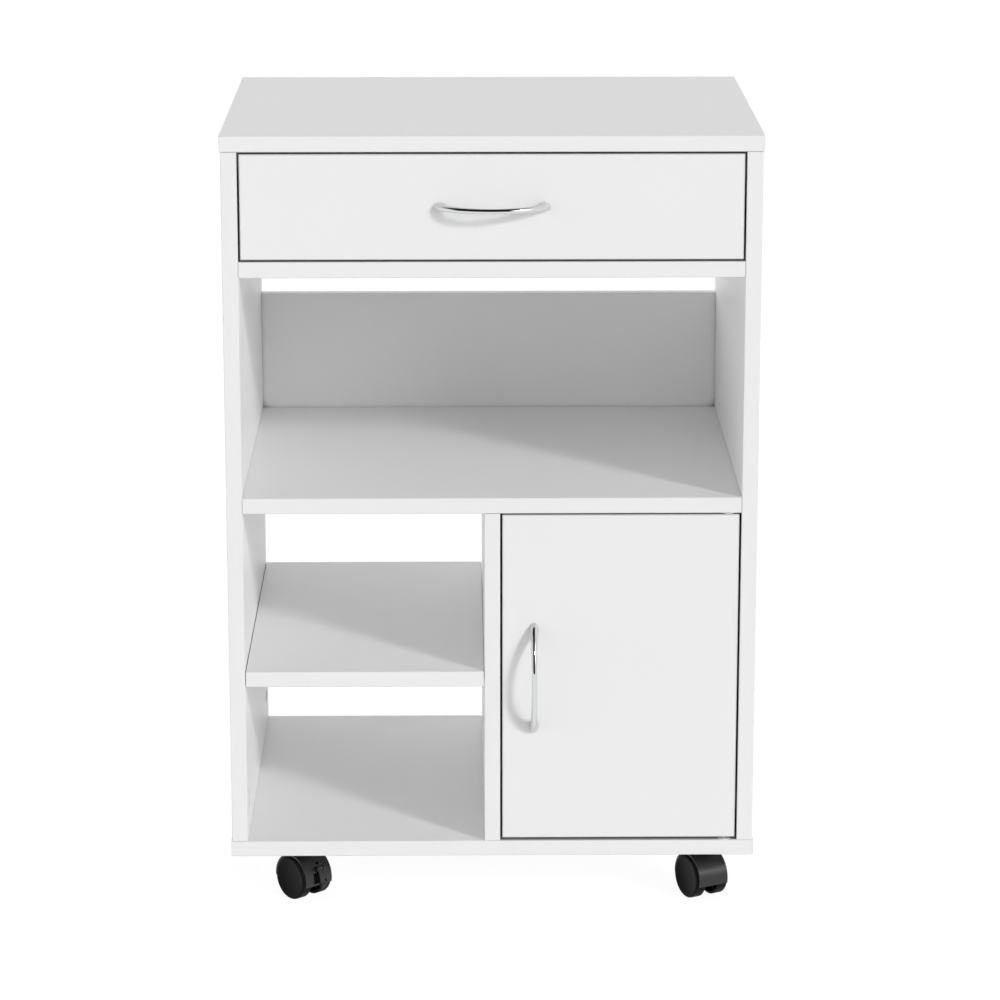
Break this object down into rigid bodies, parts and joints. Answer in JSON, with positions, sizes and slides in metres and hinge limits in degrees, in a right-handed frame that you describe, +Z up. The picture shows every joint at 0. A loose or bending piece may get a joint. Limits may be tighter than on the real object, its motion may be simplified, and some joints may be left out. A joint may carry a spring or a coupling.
{
  "type": "printer cabinet",
  "caption": "White printer cabinet on twin-wheel casters, with a drawer, an open printer bay, open shelves and an inset door with bow handles.",
  "frame": {"origin": "on the floor under the middle of the bounding box, which takes in the handles", "axes": "+Z up, -Y towards the user (the front), +X to the right seen from the front"},
  "size_m": [0.5, 0.427, 0.75],
  "materials": {
    "melamine": "satin white melamine on particle board",
    "hardboard": "white faced hardboard",
    "chrome": "polished chrome plate",
    "zinc": "cast zinc",
    "beech": "plain beech",
    "runner_enamel": "white enamel",
    "white_nylon": "white nylon",
    "plated_steel": "zinc plated",
    "black_steel": "black coating",
    "hood_nylon": "satin black nylon",
    "wheel_nylon": "black nylon"
  },
  "bodies": {
    "cabinet": {"top_panel": "melamine", "left_side_panel": "melamine", "right_side_panel": "melamine", "bottom_panel": "melamine", "under_drawer_panel": "melamine", "printer_shelf": "melamine", "divider_panel": "melamine", "left_bay_shelf": "melamine", "printer_bay_back": "melamine", "door_bay_back": "melamine", "shelf_pins": "plated_steel", "cam_locks": "zinc", "cam_bolts": "plated_steel", "cam_covers": "white_nylon", "wood_dowels": "beech", "left_cabinet_runner": "runner_enamel", "right_cabinet_runner": "runner_enamel", "cabinet_runner_screws": "plated_steel", "pivot_bushes": "white_nylon", "magnet_catch": "white_nylon", "caster_plates": "black_steel", "caster_plate_screws": "plated_steel"},
    "drawer": {"drawer_front": "melamine", "drawer_left_side": "melamine", "drawer_right_side": "melamine", "drawer_back": "melamine", "drawer_bottom": "hardboard", "drawer_handle": "chrome", "drawer_handle_screws": "plated_steel", "left_drawer_runner": "runner_enamel", "right_drawer_runner": "runner_enamel", "drawer_runner_screws": "plated_steel", "drawer_dowels": "beech"},
    "door": {"door_panel": "melamine", "door_handle": "chrome", "door_handle_screws": "plated_steel", "door_pivots": "plated_steel", "catch_strike": "plated_steel"},
    "left_cabinet_roller": {"left_cabinet_roller": "white_nylon"},
    "right_cabinet_roller": {"right_cabinet_roller": "white_nylon"},
    "left_drawer_roller": {"left_drawer_roller": "white_nylon"},
    "right_drawer_roller": {"right_drawer_roller": "white_nylon"},
    "front_left_caster": {"front_left_hood": "hood_nylon", "front_left_axle": "plated_steel"},
    "front_left_wheel_a": {"front_left_wheel_a": "wheel_nylon"},
    "front_left_wheel_b": {"front_left_wheel_b": "wheel_nylon"},
    "front_left_brake": {"front_left_brake": "hood_nylon"},
    "front_right_caster": {"front_right_hood": "hood_nylon", "front_right_axle": "plated_steel"},
    "front_right_wheel_a": {"front_right_wheel_a": "wheel_nylon"},
    "front_right_wheel_b": {"front_right_wheel_b": "wheel_nylon"},
    "rear_left_caster": {"rear_left_hood": "hood_nylon", "rear_left_axle": "plated_steel"},
    "rear_left_wheel_a": {"rear_left_wheel_a": "wheel_nylon"},
    "rear_left_wheel_b": {"rear_left_wheel_b": "wheel_nylon"},
    "rear_right_caster": {"rear_right_hood": "hood_nylon", "rear_right_axle": "plated_steel"},
    "rear_right_wheel_a": {"rear_right_wheel_a": "wheel_nylon"},
    "rear_right_wheel_b": {"rear_right_wheel_b": "wheel_nylon"},
    "rear_right_brake": {"rear_right_brake": "hood_nylon"}
  },
  "joints": [
    {"name": "drawer_slide", "type": "slide", "parent": "cabinet", "child": "drawer", "axis": [0, -1, 0], "range_m": [0, 0.26]},
    {"name": "door_swing", "type": "hinge", "parent": "cabinet", "child": "door", "pos_m": [0.222, -0.1805, 0.2325], "axis": [0, 0, 1], "range_deg": [0, 100]},
    {"name": "left_cabinet_roller_spin", "type": "hinge", "parent": "cabinet", "child": "left_cabinet_roller", "pos_m": [-0.2276, -0.1595, 0.6504], "axis": [1, 0, 0], "range_deg": [0, 2000]},
    {"name": "right_cabinet_roller_spin", "type": "hinge", "parent": "cabinet", "child": "right_cabinet_roller", "pos_m": [0.2276, -0.1595, 0.6504], "axis": [1, 0, 0], "range_deg": [0, 2000]},
    {"name": "left_drawer_roller_spin", "type": "hinge", "parent": "drawer", "child": "left_drawer_roller", "pos_m": [-0.2276, 0.1665, 0.648], "axis": [1, 0, 0], "range_deg": [0, 2000]},
    {"name": "right_drawer_roller_spin", "type": "hinge", "parent": "drawer", "child": "right_drawer_roller", "pos_m": [0.2276, 0.1665, 0.648], "axis": [1, 0, 0], "range_deg": [0, 2000]},
    {"name": "front_left_swivel", "type": "hinge", "parent": "cabinet", "child": "front_left_caster", "pos_m": [-0.195, -0.1295, 0.045], "axis": [0, 0, 1], "continuous": true},
    {"name": "front_left_wheel_a_spin", "type": "hinge", "parent": "front_left_caster", "child": "front_left_wheel_a", "pos_m": [-0.18296, -0.14288, 0.021], "axis": [0.7431, 0.6691, 0], "continuous": true},
    {"name": "front_left_wheel_b_spin", "type": "hinge", "parent": "front_left_caster", "child": "front_left_wheel_b", "pos_m": [-0.18296, -0.14288, 0.021], "axis": [0.7431, 0.6691, 0], "continuous": true},
    {"name": "front_left_brake_press", "type": "hinge", "parent": "front_left_caster", "child": "front_left_brake", "pos_m": [-0.16682, -0.159, 0.03311], "axis": [0.7431, 0.6691, 0], "range_deg": [0, 5]},
    {"name": "front_right_swivel", "type": "hinge", "parent": "cabinet", "child": "front_right_caster", "pos_m": [0.195, -0.1295, 0.045], "axis": [0, 0, 1], "continuous": true},
    {"name": "front_right_wheel_a_spin", "type": "hinge", "parent": "front_right_caster", "child": "front_right_wheel_a", "pos_m": [0.20345, -0.14539, 0.021], "axis": [0.8829, 0.4695, 0], "continuous": true},
    {"name": "front_right_wheel_b_spin", "type": "hinge", "parent": "front_right_caster", "child": "front_right_wheel_b", "pos_m": [0.20345, -0.14539, 0.021], "axis": [0.8829, 0.4695, 0], "continuous": true},
    {"name": "rear_left_swivel", "type": "hinge", "parent": "cabinet", "child": "rear_left_caster", "pos_m": [-0.195, 0.1565, 0.045], "axis": [0, 0, 1], "continuous": true},
    {"name": "rear_left_wheel_a_spin", "type": "hinge", "parent": "rear_left_caster", "child": "rear_left_wheel_a", "pos_m": [-0.17941, 0.1475, 0.021], "axis": [0.5, 0.866, 0], "continuous": true},
    {"name": "rear_left_wheel_b_spin", "type": "hinge", "parent": "rear_left_caster", "child": "rear_left_wheel_b", "pos_m": [-0.17941, 0.1475, 0.021], "axis": [0.5, 0.866, 0], "continuous": true},
    {"name": "rear_right_swivel", "type": "hinge", "parent": "cabinet", "child": "rear_right_caster", "pos_m": [0.195, 0.1565, 0.045], "axis": [0, 0, 1], "continuous": true},
    {"name": "rear_right_wheel_a_spin", "type": "hinge", "parent": "rear_right_caster", "child": "rear_right_wheel_a", "pos_m": [0.20532, 0.14175, 0.021], "axis": [0.8192, 0.5736, 0], "continuous": true},
    {"name": "rear_right_wheel_b_spin", "type": "hinge", "parent": "rear_right_caster", "child": "rear_right_wheel_b", "pos_m": [0.20532, 0.14175, 0.021], "axis": [0.8192, 0.5736, 0], "continuous": true},
    {"name": "rear_right_brake_press", "type": "hinge", "parent": "rear_right_caster", "child": "rear_right_brake", "pos_m": [0.21937, 0.12378, 0.03311], "axis": [0.8192, 0.5736, 0], "range_deg": [0, 5]}
  ],
  "couplings": [
    {"joint": "left_cabinet_roller_spin", "follows": "drawer_slide", "rad_per_m": 133.33},
    {"joint": "right_cabinet_roller_spin", "follows": "drawer_slide", "rad_per_m": 133.33},
    {"joint": "left_drawer_roller_spin", "follows": "drawer_slide", "rad_per_m": 133.33},
    {"joint": "right_drawer_roller_spin", "follows": "drawer_slide", "rad_per_m": 133.33}
  ]
}
